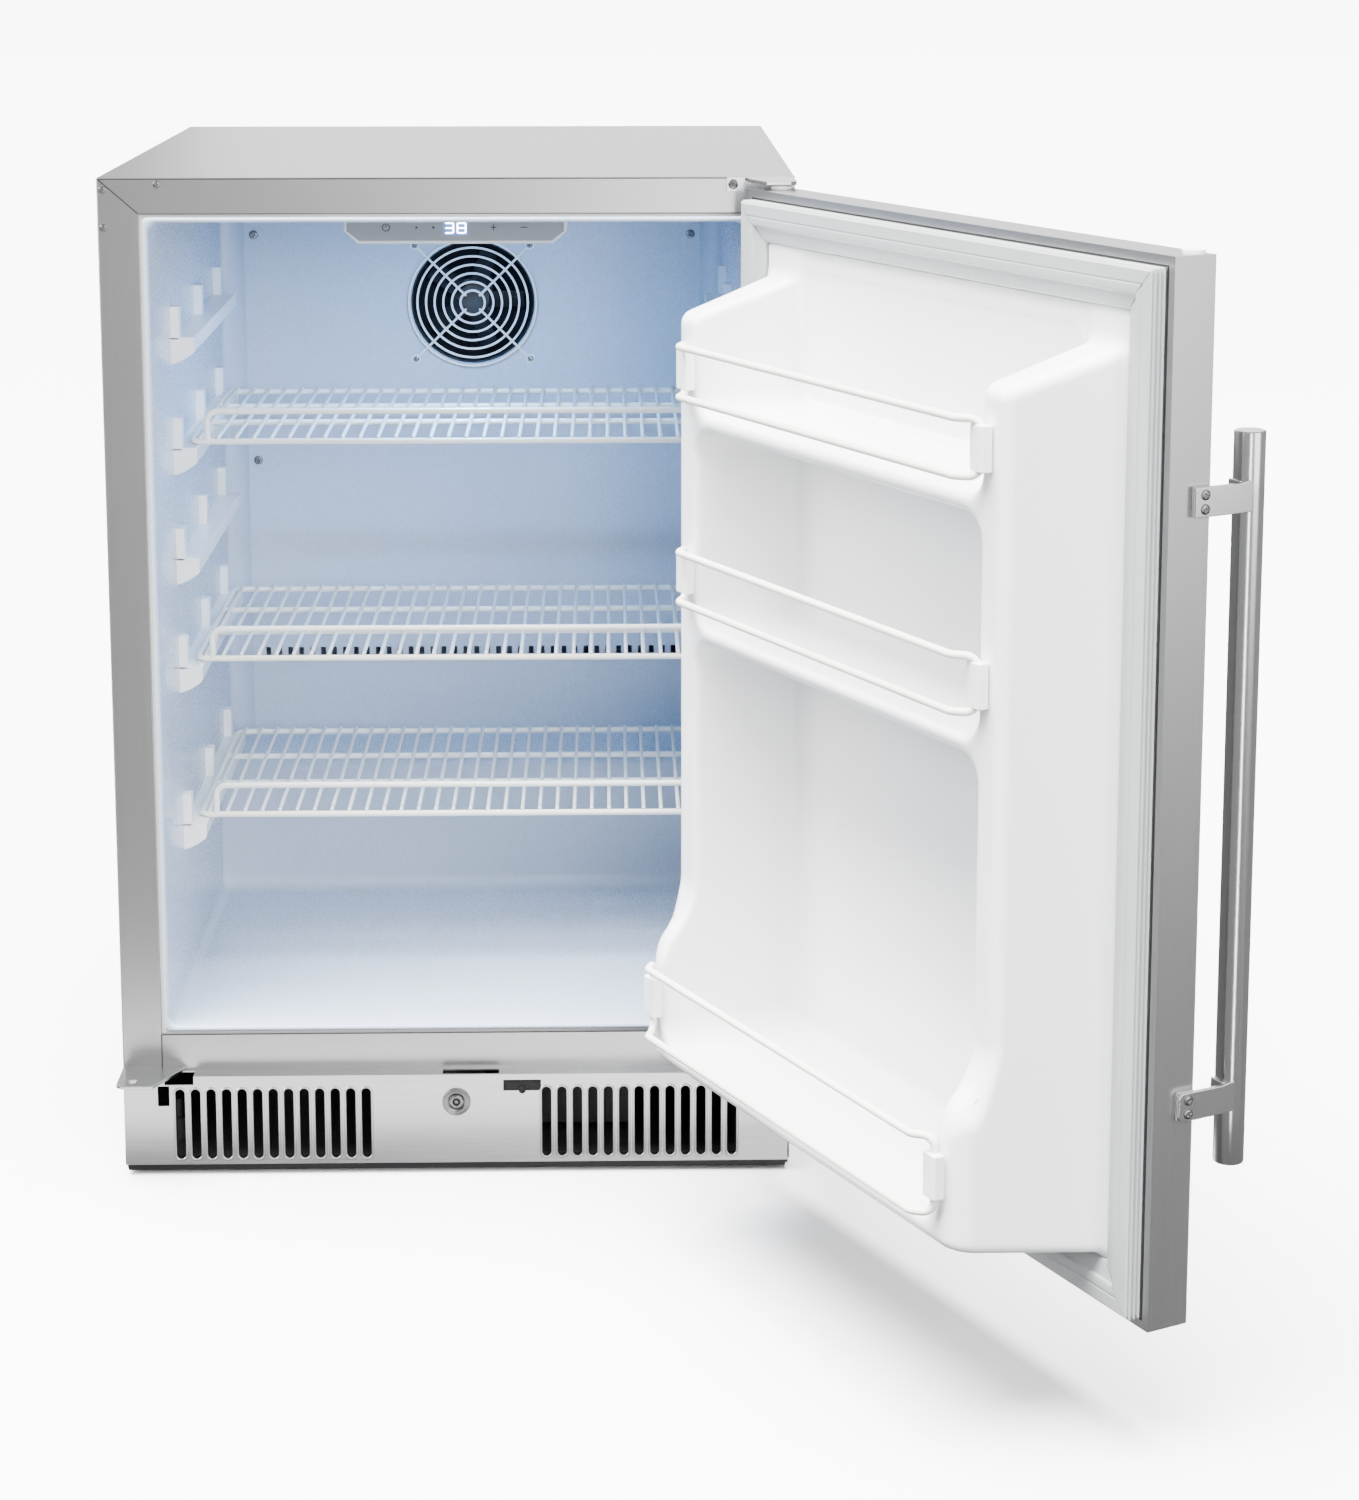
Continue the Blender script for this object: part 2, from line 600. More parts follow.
def cavity_liner():
    """Inside of the cabinet as a chain of round-cornered rings from the opening to the back wall."""
    r, foot, nose, deep = 11.0, 16.0, 10.0, 5.0
    lip = [
        (TRIM_HIGH[1], 1.7, 1.7, 3.0), (FRONT + 2.2, 1.7, 1.7, 3.0), (FRONT + 1.1, 1.5, 1.5, 3.2),
        (FRONT + 0.7, 1.1, 1.1, 4.2), (FRONT + 0.7, 0.6, 0.6, 9.5), (FRONT + 1.1, 0.2, 0.2, r),
        (FRONT + 2.4, 0, 0, r), (FRONT + 60, 0, 0, r),
    ]
    rings = []

    def ring(y, grow_x, low, grow_top, radius):
        outline = rounded_rect(CAVITY_X + grow_x, low, CAVITY_TOP + grow_top, radius)
        return [(x, y, z) for x, z in outline]

    for y, gx, gz, radius in lip:
        rings.append(ring(y, gx, CAVITY_FLOOR - gz, gz, radius))
    for t in np.linspace(0, math.pi / 2, 9):
        rise = foot * (1 - math.cos(t))
        rings.append(ring(STEP_Y - foot + foot * math.sin(t), 0, CAVITY_FLOOR + rise, 0, r))
    for t in np.linspace(0, math.pi / 2, 7):
        rings.append(ring(STEP_Y + nose * (1 - math.cos(t)), 0, STEP_Z - nose * (1 - math.sin(t)), 0, r))
    for t in np.linspace(0, math.pi / 2, 6):
        y, inward = CAVITY_BACK - deep * (1 - math.sin(t)), deep * (1 - math.cos(t))
        rings.append(ring(y, -inward, STEP_Z + inward * 0.6, -inward, r - inward))
    hole_low, hole_top = COVER_LOW[2] - 0.6, CAVITY_TOP - 5.6
    for y in (CAVITY_BACK + 0.2, LINER_HIGH[1] - 3):
        rings.append([(x, y, z) for x, z in rounded_rect(RECESS_X, hole_low, hole_top, 1.0)])
    n = len(rings[0])
    last = (len(rings) - 1) * n
    return loft(rings, closed_ends=False).patch([range(last, last + n)])


# Its inside is what shows, so the normals point inward and the wall's thickness grows outward.
liner = piece("cavity_liner", cavity_liner(), "cabinet", liner_white, ["inner_liner"])
liner.data.flip_normals()
shell = liner.modifiers.new("wall", "SOLIDIFY")
shell.thickness, shell.offset = 1.6 * MM, -1.0


def floor_ribs():
    """Low ribs along the cavity floor, tapered to round ends."""
    shape = Shape()
    count, pitch, half_w, rise = 20, 21.9, 2.6, 1.6
    y0, y1 = FRONT + 82, FRONT + 367
    for i in range(count):
        x = (i - (count - 1) / 2) * pitch
        rings = []
        for k in range(25):
            t = -1 + 2 * k / 24
            s = math.copysign(1 - (1 - abs(t)) ** 2.2, t)
            y = (y0 + y1) / 2 + (y1 - y0) / 2 * s
            end = min(1.0, min(y - y0, y1 - y) / 4)
            full = max(0.02, math.sqrt(max(0.0, 1 - (1 - end) ** 2)))
            rings.append([
                (x + half_w * full * math.cos(a), y, CAVITY_FLOOR - 0.3 + rise * 1.2 * full * math.sin(a))
                for a in (math.pi * m / 10 for m in range(11))
            ])
        shape.join(loft(rings))
    return shape


piece("floor_ribs", floor_ribs(), "cabinet", liner_white)


def opening_ring():
    """Grey strip round the opening: a flat band with a soft inner edge."""
    outer, inner = TRIM_W, 1.8
    profile = [(outer, TRIM_HIGH[1]), (outer, FRONT + 1.6), (outer - 0.4, FRONT + 1.1),
               (inner + 0.6, FRONT + 1.0), (inner + 0.1, FRONT + 1.3), (inner, FRONT + 2.0),
               (inner, TRIM_HIGH[1])]
    rings = []
    for grow, y in profile:
        corner = 0.8 if grow > 4 else 3.1
        outline = rounded_rect(CAVITY_X + grow, CAVITY_FLOOR - grow, CAVITY_TOP + grow, corner)
        rings.append([(x, y, z) for x, z in outline])
    return loft(rings, loop=True)


piece("opening_trim_band", opening_ring(), "cabinet", trim_grey, ["opening_trim"])


def cabinet_screw_heads():
    """Screws of the face frame, the upper hinge, the evaporator cover and the fan guard."""
    shape = Shape()
    small, side, top = 6.4, SHELL_HIGH[0] - 5, SHELL_HIGH[2]
    heads = [((x, FRONT, top - 41.5), small) for x in (-side, side)]
    heads += [((45 - side, FRONT, top - 5.5), small), ((-side, FRONT, top - 10), small)]
    heads += [((238.4, FRONT - 2, top - 6), 8.4)]
    heads += [((x, CAVITY_BACK, z), 9.0) for x in (-215, 215) for z in (767, 542)]
    reach = GUARD_EYE * math.sqrt(0.5)
    for sx, sz in ((-1, -1), (-1, 1), (1, -1), (1, 1)):
        heads.append(((sx * reach, CAVITY_BACK - 1.8, FAN_Z + sz * reach), small))
    for k, (at, size) in enumerate(heads):
        shape.join(screw_head(at, (0, -1, 0), size, size * 0.2, 0.3 + 0.5 * k))
    return shape


piece("cabinet_screw_heads", cabinet_screw_heads(), "cabinet", screw_steel, ["cabinet_screws"])


def fan_shroud():
    """Round tunnel behind the cover's hole, with a back plate round the motor."""
    mouth, motor, depth, wall = 60.9, 20.4, 45.6, 1.2
    profile = [(mouth - 0.6, 0), (mouth, 0.4), (mouth, depth), (motor, depth), (motor, depth - wall),
               (mouth - 1.7, depth - wall), (mouth - 1.7, 0.4), (mouth - 1.3, 0)]
    return ring_of(profile, (0, CAVITY_BACK + 2.4, FAN_Z), (0, 1, 0), 72)


piece("fan_shroud", fan_shroud(), "cabinet", black_plastic)


def guard_wires():
    """Round fan guard: rings and four arms of round wire."""
    wire, stand_off = 1.15, 5.2
    eye = [(2.4, 0.1), (4.0, 0.1), (4.5, 0.5), (4.5, 1.6), (4.0, 2.0), (2.4, 2.0)]
    shape = Shape()

    def at(angle, radius, back=0.0):
        return (radius * math.cos(angle), CAVITY_BACK - stand_off + back, FAN_Z + radius * math.sin(angle))

    for radius in np.arange(12.0, 63.5, 8.5):
        ring = [at(t, radius) for t in np.linspace(0, 2 * math.pi, 73)[:-1]]
        shape.join(tube(ring, wire, closed=True, sides=10))
    for angle in np.radians([45, 135, 225, 315]):
        path = [at(angle, 10, 1.9), at(angle, 70, 1.9), at(angle, 75, 3.9), at(angle, GUARD_EYE - 2, 3.9)]
        shape.join(tube(path, wire, bend=4))
        shape.join(ring_of(eye, at(angle, GUARD_EYE, stand_off), (0, -1, 0), 32))
    return shape


piece("fan_guard_wires", guard_wires(), "cabinet", part_white, ["fan_guard"])


# Control panel under the ceiling

HOUSE_LOW, HOUSE_HIGH = size_of("control_housing")


def housing_outline(inset):
    """Front outline of the housing, drawn in by an inset, with its lower corners cut off."""
    x1, x2 = HOUSE_HIGH[0] - inset, 86 - inset * 0.45
    top, low, mid = HOUSE_HIGH[2] - inset * 0.4, HOUSE_LOW[2] + inset, HOUSE_HIGH[2] - 24
    return [(-x1, top), (x1, top), (x1, mid), (x2, low), (-x2, low), (-x1, mid)]


FILM_Y = HOUSE_LOW[1] - 0.35
ICON_Z = 808.3
POWER_X, PLUS_X, MINUS_X = -60.9, 33.4, 60.2
film = prism(housing_outline(2.6), FILM_Y, HOUSE_LOW[1] + 1.2, 1)
piece("control_film", film, "cabinet", film_grey, ["control_panel"], bevel=0.25)


def icon(points, name):
    """Printed line on the film, through points given by X and height above the icons' middle."""
    pts = [(x, FILM_Y - 0.05, ICON_Z + dz) for x, dz in points]
    piece(name, tube(pts, 0.45, sides=8), "cabinet", dark_ink)


ring = [(POWER_X + 3.1 * math.cos(t), 3.1 * math.sin(t)) for t in np.radians(np.linspace(120, 420, 32))]
icon(ring, "icon_power_ring")
icon([(POWER_X, 0.6), (POWER_X, 3.6)], "icon_power_bar")
dot = [(0.1, 0.25), (0.8, 0.25), (1.1, 0.1), (1.1, -0.3), (0.1, -0.3)]
for k, x in enumerate((-34.2, -19.3)):
    turned = lathe(dot, (x, FILM_Y, ICON_Z), (0, -1, 0), 24)
    piece(f"icon_dot_{k}", turned, "cabinet", dark_ink)
icon([(PLUS_X - 2.2, 0), (PLUS_X + 2.2, 0)], "icon_plus_a")
icon([(PLUS_X, -2.2), (PLUS_X, 2.2)], "icon_plus_b")
icon([(MINUS_X - 2.6, 0), (MINUS_X + 2.6, 0)], "icon_minus")

window = [(x, ICON_Z + dz) for x, dz in ((-11, -7), (11, -7), (11, 6), (-11, 6))]
screen = prism(window, FILM_Y - 0.15, FILM_Y + 0.3, 1)
piece("display_screen", screen, "cabinet", screen_glow, bevel=0.1)


def digits():
    """Two seven-segment digits, a 3 and an 8, from the segments that are lit."""
    w, h, gap = 3.6, 4.3, 0.1
    place = {"a": ((-w, h), (w, h)), "b": ((w, h), (w, 0)), "c": ((w, 0), (w, -h)), "d": ((-w, -h), (w, -h)),
             "e": ((-w, 0), (-w, -h)), "f": ((-w, h), (-w, 0)), "g": ((-w, 0), (w, 0))}
    shape = Shape()
    for x, lit in ((-5.4, "abgcd"), (5.4, "abcdefg")):
        centre = np.array([x, FILM_Y - 0.1, ICON_Z - 0.5])
        for segment in lit:
            start, end = (centre + [u, 0, v] for u, v in place[segment])
            trim = (end - start) * gap
            shape.join(tube([start + trim, end - trim], 0.65, sides=8))
    return shape


piece("display_digits", digits(), "cabinet", digit_glow)


# Shelf supports

def support_shape(side):
    """Five brackets on one wall, each a ledge with three stops; the lowest is cut over the hump."""
    low, high = size_of("shelf_supports_left")
    y0, y1 = low[1], high[1]
    wall, ledge, depth, top, pitch, nose = CAVITY_X, 22, 24, 715, 98.5, 0.6
    stop, stop_w, stop_t, gap = 27, 14, 9, 0.4
    shape = Shape()

    def rail(outline, start, end):
        shape.join(prism([(side * x, z) for x, z in outline], start, end, 1))

    for k, z in enumerate([low[2] + depth] + [top - pitch * i for i in range(4)]):
        under = [(wall - ledge * t, 11 * t ** 1.6 - depth) for t in np.linspace(0, 0.94, 7)]
        under.append((wall - ledge, -11.4))
        outline = [(x, z + dz) for x, dz in under]
        outline += [(wall - ledge, z - nose), (wall - (ledge - nose), z), (wall, z)]
        if k:
            rail(outline, y0, y1)
        else:
            cut = [(x, max(level, STEP_Z + gap)) for x, level in outline]
            rail(outline, y0, STEP_Y - gap)
            rail([pt for i, pt in enumerate(cut) if pt != cut[i - 1]], STEP_Y - gap, y1)
        a, b = sorted((side * (wall - stop_t), side * wall))
        for y in (y0, y0 + (y1 - y0) / 2, y1 - stop_w):
            shape.join(box((a, y, z - 2), (b, y + stop_w, z + stop)))
    return shape


for side, name in ((-1, "left"), (1, "right")):
    piece(f"supports_{name}", support_shape(side), "cabinet", part_white,
          [f"shelf_supports_{name}"], bevel=1.1, segments=3)


# Wire shelves

def wire_shelf(node):
    """Frame wire with two crossbars, a raised front bar, and thin wires from front to back."""
    low, high = size_of(node)
    thick, thin, count = 2.75, 1.75, 30
    x, y0, y1, z = high[0] - thick, low[1] + thick, high[1] - thick, low[2] + thick
    bar_x, bar_z, wire_z = x - 14, high[2] - thick, z + 3.4
    shape = tube([(-x, y0, z), (x, y0, z), (x, y1, z), (-x, y1, z)], thick, closed=True, bend=11)
    for share in (0.36, 0.68):
        y = y0 + (y1 - y0) * share
        shape.join(tube([(-x, y, z), (x, y, z)], thick))
    bar = [(-bar_x, y0, z), (-bar_x, y0, bar_z), (bar_x, y0, bar_z), (bar_x, y0, z)]
    shape.join(tube(bar, thick, bend=9))
    for wire_x in np.linspace(8 - x, x - 8, count):
        shape.join(tube([(wire_x, y0 + 0.4, wire_z), (wire_x, y1 - 0.4, wire_z)], thin, sides=10))
    return shape


for level in ("top", "middle", "bottom"):
    node = f"shelf_{level}"
    piece(f"wire_shelf_{level}", wire_shelf(node), f"{level}_shelf", wire_white, [node])


# ---- base front

GRILLE_LOW = size_of("grille_panel")[0]
SLOT_LOW, SLOT_HIGH, SLOT_W, SLOT_PITCH, FIRST_SLOT = 14.7, 78.0, 8.2, 13.4, 78.0


def slot_lips():
    """Raised lip round each slot of the grille."""
    r, y = SLOT_W / 2 + 0.85, GRILLE_LOW[1] + 0.15
    ends = ((SLOT_HIGH - SLOT_W / 2, 0), (SLOT_LOW + SLOT_W / 2, math.pi))
    arcs = [(z, t) for z, start in ends for t in np.linspace(start, start + math.pi, 13)]
    shape = Shape()
    for x in (s * (FIRST_SLOT + SLOT_PITCH * i) for s in (-1, 1) for i in range(13)):
        path = [(x + r * math.cos(t), y, z + r * math.sin(t)) for z, t in arcs]
        shape.join(tube(path, 1.15, closed=True, sides=12))
    return shape


piece("grille_lips", slot_lips(), "cabinet", steel_grille)


def seams():
    """Dark joint lines of the face frame: its mitres and feet, its inner edges and under the top."""
    width, y0, y1 = 0.75, FRONT - 0.12, FRONT + 0.6
    inner_x, outer_x, outer_z = TRIM_HIGH[0], STILE_HIGH[0] - 0.2, STILE_HIGH[2] - 0.2
    shape = Shape()
    for s in (-1, 1):
        a, b = np.array([s * inner_x, TRIM_HIGH[2]]), np.array([s * outer_x, outer_z])
        along = (b - a) / np.linalg.norm(b - a)
        n = np.array([-along[1], along[0]]) * width / 2
        shape.join(prism([tuple(a - n), tuple(b - n), tuple(b + n), tuple(a + n)], y0, y1, 1))
        x0, x1 = sorted((s * (inner_x - 0.4), s * (inner_x + 0.4)))
        shape.join(box((x0, y0, STILE_LOW[2] + 0.4), (x1, y1, TRIM_LOW[2])))
    shape.join(box((0.2 - outer_x, y0, outer_z - 0.1), (232.4, y1, outer_z + 0.5)))
    for z in (TRIM_HIGH[2], TRIM_LOW[2]):
        shape.join(box((1 - inner_x, y0, z - 0.3), (inner_x - 1, y1, z + 0.3)))
    return shape


piece("frame_seams", seams(), "cabinet", black_plastic)
kick = [(-285.5, 3.2), (285.5, 3.2), (286.5, 9.2), (-286.5, 9.2)]
strip = prism(kick, GRILLE_LOW[1] + 3, FRONT - 0.4, 1)
piece("kick_strip", strip, "cabinet", black_plastic, bevel=0.8)

# Lock, its profiles given by radius and height over the grille

LOCK = np.array([0, GRILLE_LOW[1], sum(size_of("lock_collar"))[2] / 2])
OUT = (0, -1, 0)
collar = [(6.64, 1.2), (7.0, 1.5), (9.2, 1.6), (10.6, 1.7), (11.5, 2.15), (12.0, 1.9), (12.2, 1.2),
          (12.2, 0.05), (9.4, 0.05), (9.4, -2.6), (6.64, -2.6)]
collar = ring_of(collar, LOCK, OUT, 96)
piece("lock_collar_turned", collar, "cabinet", lock_grey, ["lock_collar"])
barrel = [(0.3, 2.0), (1.3, 2.0), (1.7, 1.7), (1.7, 0.2), (3.2, 0.2), (3.2, 1.8), (3.6, 2.0), (6.1, 2.0),
          (6.5, 1.6), (6.5, -3.0), (3.0, -3.0), (3.0, -6.0), (0.3, -6.0)]
piece("lock_barrel", lathe(barrel, LOCK, OUT, 96), "lock", lock_grey, ["lock_cylinder"])
well = lathe([(1.72, 0.3), (1.72, 0.6), (3.18, 0.6), (3.18, 0.3)], LOCK, OUT, 64)
piece("lock_key_well", well, "lock", black_plastic)


# ---- door

SKIN_LOW, SKIN_HIGH = door_size_of("door_skin")
GASKET_LOW, GASKET_HIGH = door_size_of("door_gasket")
P_MID = (SKIN_LOW[0] + SKIN_HIGH[0]) / 2
Q_IN = SKIN_HIGH[1]


def rect_distance(across, height, half_w, half_h, r):
    """Distance to a rectangle with round corners, negative inside it."""
    u, v = across - (half_w - r), np.abs(height) - (half_h - r)
    return np.hypot(np.maximum(u, 0), np.maximum(v, 0)) + np.minimum(np.maximum(u, v), 0) - r


def leaning(gap, run, rise):
    """Distance to a plane that leans by run in rise, from the gap measured along one axis."""
    return gap * math.cos(math.atan2(run, rise))


def door_liner_distance(p, q, z):
    """Moulded liner of the door: side walls, two shelves and a trough, all with round edges."""
    inner_q, wall_q, trough_q, lip, draft = 24, 119.6, 149.6, 5.5, 0.012
    across, out = np.abs(p), q - inner_q
    side = leaning(across - 245.5 + out * 16 / 126, 16, 126)
    top = leaning(z - 795 + out * 27 / 96, 27, 96)
    low = leaning(138 + out * 19 / 126 - z, 19, 126)
    chin = ((q - 120) * 32 + (z - 284) * 30) / math.hypot(32, 30)
    front = blend_in(q - wall_q, meet(q - trough_q, chin, 12), 14)
    nose = 8.5 + 10.5 * np.clip((q - 119) / 10, 0, 1)
    mass = meet(meet(meet(side, front, nose), top, 8.5), low, 7)
    plate = np.maximum(np.maximum(across - 247.2, np.maximum(137.5 - z, z - 818)), q - 29)
    solid = blend_in(mass, plate, 7)
    for z0, z1, corner, back in ((173, 505, 20, 26), (519, 676, 20, 26), (692, 1200, 16, 29)):
        opening = rect_distance(across, z - (z0 + z1) / 2, 202, (z1 - z0) / 2, corner)
        solid = meet(solid, -meet(opening - draft * (q - back), back - q, 9), lip)
    recess = rect_distance(across, z - 749.5, 188, 52.5, 12)
    return np.maximum(meet(solid, -meet(recess, 25.6 - q, 2.5), 2.0), 22 - q)


step, fine_step = 2.8, 1.4
grid_axes = [
    np.arange(-250 - step, 250 + 2 * step, step),
    np.concatenate([np.arange(19.0, 33.0, fine_step), np.arange(33.0, 152 + 2 * step, step)]),
    np.arange(135 - step, 820 + 2 * step, step),
]
net = surface_net(door_liner_distance, grid_axes, step / 2).moved(lambda v: v + [P_MID, 0, 0])
piece("door_liner_moulding", net, "door", door_white, ["door_liner"], door=True)


def gasket():
    """Bellows gasket with mitred corners, its profile swept round the door."""
    q0, q1 = GASKET_LOW[1], GASKET_HIGH[1]
    profile = [(2.6, q0)]
    for k in range(3):
        base = q0 + 0.4 + 3.6 * k
        profile += [(2.4, base), (0.2, base + 0.9), (0.0, base + 1.7), (0.3, base + 2.5), (2.4, base + 3.3)]
    profile += [(1.0, q1 - 1.0), (2.4, q1), (11.0, q1), (11.5, q1 - 0.5), (12.3, q1 - 0.5), (12.8, q1),
                (17.6, q1), (19.2, q1 - 0.8), (19.8, q1 - 2.6), (21.0, q1 - 3.2), (29.6, q1 - 4.4),
                (31.6, q1 - 6.0), (32.0, q1 - 7.6), (31.0, q0)]
    shares = (0, 0.004, 0.25, 0.5, 0.75, 0.996)    # close to each corner, so that the mitre stays sharp
    rings = []
    for inset, q in profile:
        x0, x1 = GASKET_LOW[0] + inset, GASKET_HIGH[0] - inset
        z0, z1 = GASKET_LOW[2] + inset, GASKET_HIGH[2] - inset
        corners = np.array([(x0, q, z0), (x1, q, z0), (x1, q, z1), (x0, q, z1)])
        sides = zip(corners, np.roll(corners, -1, 0))
        rings.append([here + (after - here) * t for here, after in sides for t in shares])
    return loft(rings, loop=True)


def gasket_channel():
    """Dark line round the gasket on the door's inner face."""
    low, high = GASKET_LOW, GASKET_HIGH
    shape = Shape()
    width, q = 1.5, Q_IN + 0.35
    for z0, z1 in ((low[2] - width, low[2]), (high[2], high[2] + width)):
        shape.join(box((low[0] - width, Q_IN - 0.4, z0), (high[0] + width, q, z1)))
    for x0, x1 in ((low[0] - width, low[0]), (high[0], high[0] + width)):
        shape.join(box((x0, Q_IN - 0.4, low[2]), (x1, q, high[2])))
    return shape


channel = gasket_channel()
piece("gasket_channel", channel, "door", black_plastic, door=True, bevel=0.15, segments=1)


def gasket_mitres():
    """Welded joint lines across the gasket's corners."""
    q, profile = GASKET_HIGH[1], ((3, 0.1), (17.5, 0.1), (20.4, 2.9), (30, 4.5))
    shape = Shape()
    for px, sx in ((GASKET_LOW[0], 1), (GASKET_HIGH[0], -1)):
        for pz, sz in ((GASKET_LOW[2], 1), (GASKET_HIGH[2], -1)):
            path = [(px + sx * inset, q - drop, pz + sz * inset) for inset, drop in profile]
            shape.join(tube(path, 0.35, sides=6))
    return shape


piece("gasket_welds", gasket_mitres(), "door", gasket_dark, door=True)
piece("gasket_bellows", gasket(), "door", gasket_grey, ["door_gasket"],
      door=True, bevel=0.35, segments=2)


# Handle

BAR_LOW, BAR_HIGH = door_size_of("handle_bar")
ARM_HIGH = door_size_of("handle_arms")[1]
ARM_Z = (691.0, 261.0)
BAR_C = (BAR_LOW + BAR_HIGH) / 2
BAR_R = (BAR_HIGH[0] - BAR_LOW[0]) / 2


def bar_shape():
    """Round bar with softly rounded ends."""
    half = (BAR_HIGH[2] - BAR_LOW[2]) / 2
    r = BAR_R - 0.05
    end = [(0.2, half), (r * 0.6, half), (r - 1.1, half - 0.05), (r - 0.4, half - 0.3), (r, half - 1.2)]
    levels = np.linspace(1.2 - half, half - 1.2, 14)[1:-1]
    profile = [(radius, -h) for radius, h in end] + [(r, h) for h in levels] + end[::-1]
    return lathe(profile, BAR_C, (0, 0, 1), 96)


piece("handle_bar_turned", bar_shape(), "door", steel_bar, ["handle_bar"], door=True)


def arm_shape(z, round_end):
    """Flat arm from the door's edge to the bar, with a thin plate beside it."""
    p0, p1 = SKIN_HIGH[0] + 0.2, ARM_HIGH[0]
    half, r, q_end, q_bar = 10.5, 4.5, ARM_HIGH[1], BAR_C[1]
    low, high = z - half, z + half
    tip = [(q_end, low), (q_end, high)]
    if round_end:
        turns = np.radians([-90, -60, -30, -1])
        lower = [(q_end - r + r * math.cos(t), low + r + r * math.sin(t)) for t in turns]
        tip = lower + [(q, 2 * z - level) for q, level in lower[::-1]]
    neck = [(q_bar + 14, high), (q_bar + 9, high + 1.2), (q_bar + 1, high + 1.9), (q_bar + 1, low + 0.6),
            (q_bar + 14, low)]
    arm = prism(tip + neck, p0 + 2.6, p1, 0)
    plate = prism([(q_end - 0.6, low), (q_end - 0.6, high), (-9, high), (-9, low)], p0, p0 + 2.2, 0)
    tab = box((BAR_C[0] - 6, q_bar + 8.6, low + 2), (p0 + 2.6, q_bar + 13, high + 1))
    return arm.join(plate).join(tab)


def arm_screw(z, turn):
    """Screw head on the outer face of an arm, which looks along p."""
    head = screw_head((0, 0, 0), (0, -1, 0), 7.6, 1.5, turn)
    return head.moved(lambda v: np.stack([ARM_HIGH[0] - 0.05 - v[:, 1], v[:, 0] - 2, v[:, 2] + z], 1))


arms, heads = Shape(), Shape()
for k, z in enumerate(ARM_Z):
    arms.join(arm_shape(z, k == 1))
    for dz in (-5, 5):
        heads.join(arm_screw(z + dz, 0.4 + k + dz))
piece("handle_arm_plates", arms, "door", zinc, ["handle_arms"], door=True, bevel=0.7)
piece("handle_screw_heads", heads, "door", screw_steel, ["handle_screws"], door=True)


# Door racks

RACK_R, RACK_END, RACK_BEND = 3.0, 211.0, 198.0
RACK_GAP = RACK_R + 0.15    # from the rack's CAD box to the middle of its wire
CLIP_LOW, CLIP_HIGH = np.array([-8.0, -3.9, -16.6]), np.array([8.0, 4.9, 16.6])


def rack_wire(low, high):
    """Closed loop of one wire: two rails across the door, joined at their ends."""
    q_front, q_back = high[1] - RACK_GAP, low[1] + RACK_GAP
    rail = [(-RACK_END, q_back), (-RACK_BEND, q_front), (RACK_BEND, q_front), (RACK_END, q_back)]
    path = [(p, q, high[2] - RACK_GAP) for p, q in rail] + [(p, q, low[2] + RACK_GAP) for p, q in rail[::-1]]
    return tube(path, RACK_R, closed=True, bend=9, sides=16).moved(lambda v: v + [P_MID, 0, 0])


clips = Shape()
for level in ("top", "middle", "bottom"):
    low, high = door_size_of(f"rack_{level}")
    wire = rack_wire(low, high)
    piece(f"rack_wire_{level}", wire, "door", wire_white, [f"rack_{level}"], door=True)
    for p in (P_MID - RACK_END, P_MID + RACK_END):
        centre = np.array([p, low[1] + RACK_GAP, (low[2] + high[2]) / 2])
        clips.join(box(centre + CLIP_LOW, centre + CLIP_HIGH))
piece("rack_clip_blocks", clips, "door", part_white, ["rack_clips"], door=True, bevel=1.4)


# ---- stage

def emitter(name, at, look, size, power, color=(1, 1, 1)):
    """Soft rectangular light that the camera doesn't see."""
    data = bpy.data.lights.new(name, "AREA")
    data.shape, data.size, data.size_y = "RECTANGLE", size[0], size[1]
    data.energy, data.color = power, color
    obj = bpy.data.objects.new(name, data)
    obj.location = at
    obj.rotation_euler = (Vector(look) - Vector(at)).to_track_quat("-Z", "Y").to_euler()
    obj.visible_camera = False
    bpy.context.scene.collection.objects.link(obj)
    return obj


bpy.ops.mesh.primitive_plane_add(size=40, location=(0, 0, -0.0005))
ground = bpy.context.object
ground.name = "studio_floor"
ground.data.materials.append(moulded("studio_floor", (0.9, 0.9, 0.9), 0.8, 0.004, 30, 0.0))
ground.visible_glossy, ground.visible_diffuse = False, False


def reflector():
    """Bright card on the floor before the fridge, seen only in its metal."""
    mesh = bpy.data.meshes.new("floor_card")
    outline = [(x, y, 0.0002) for x, y in ((-1.4, -0.66), (0.5, -0.66), (0.5, -0.42), (-1.4, -0.42))]
    mesh.from_pydata(outline, [], [(0, 1, 2, 3)])
    card = bpy.data.objects.new("floor_card", mesh)
    bpy.context.scene.collection.objects.link(card)
    mat, _, shader = new_material("floor_card")
    set_inputs(shader, color=(0, 0, 0), emit=(1, 1, 1), power=3.4, specular=0.0)
    mesh.materials.append(mat)
    card.visible_camera, card.visible_diffuse, card.visible_shadow = False, False, False


reflector()


